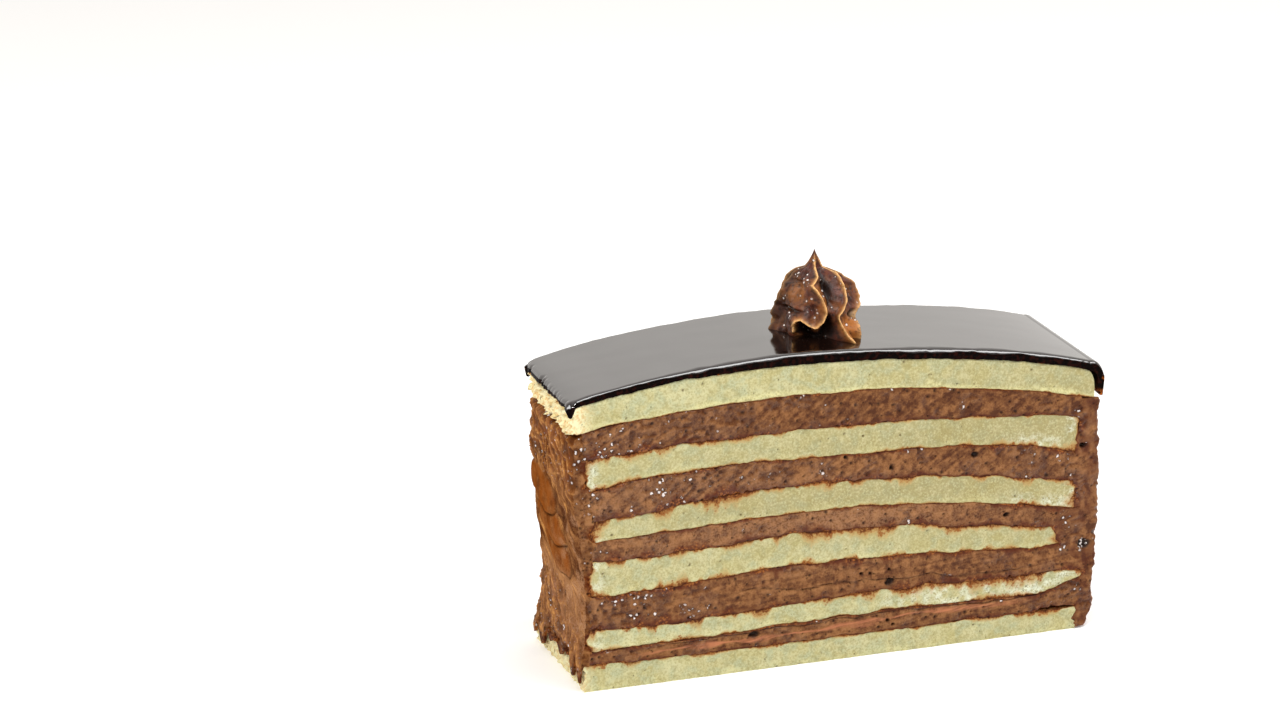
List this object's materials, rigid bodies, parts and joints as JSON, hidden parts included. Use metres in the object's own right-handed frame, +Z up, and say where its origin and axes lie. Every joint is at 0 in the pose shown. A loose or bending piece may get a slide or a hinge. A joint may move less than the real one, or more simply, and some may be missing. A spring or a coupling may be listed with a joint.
{
  "type": "dobos torte",
  "caption": "Slice of layered sponge torte: thin pale sponge sheets with chocolate buttercream between them and on the ends, a dark mirror glaze on top and a piped rosette.",
  "frame": {"origin": "on the surface that the slice stands on, under the middle of its length and depth", "axes": "+X along the slice from the end with the bare sponge edges to the end where the glaze hangs over, +Y from the front cut face to the back one, +Z up"},
  "size_m": [0.1187, 0.033, 0.0845],
  "materials": {
    "sponge": "matt fine-pored baked sponge, pale yellow with toasted skins",
    "cream": "cut chocolate buttercream, satin with knife drag marks and small bubbles",
    "coat": "spread chocolate buttercream, lumpy and softly glossy",
    "glaze": "dark chocolate mirror glaze",
    "rosette": "piped chocolate cream, glossy with thin light ridges"
  },
  "bodies": {
    "root": {"sponge_1": "sponge", "sponge_2": "sponge", "sponge_3": "sponge", "sponge_4": "sponge", "sponge_5": "sponge", "sponge_6": "sponge", "cream_1": "cream", "cream_2": "cream", "cream_3": "cream", "cream_4": "cream", "cream_5": "cream", "coat_left": "coat", "coat_right": "coat", "glaze": "glaze", "rosette": "rosette"}
  },
  "joints": []
}
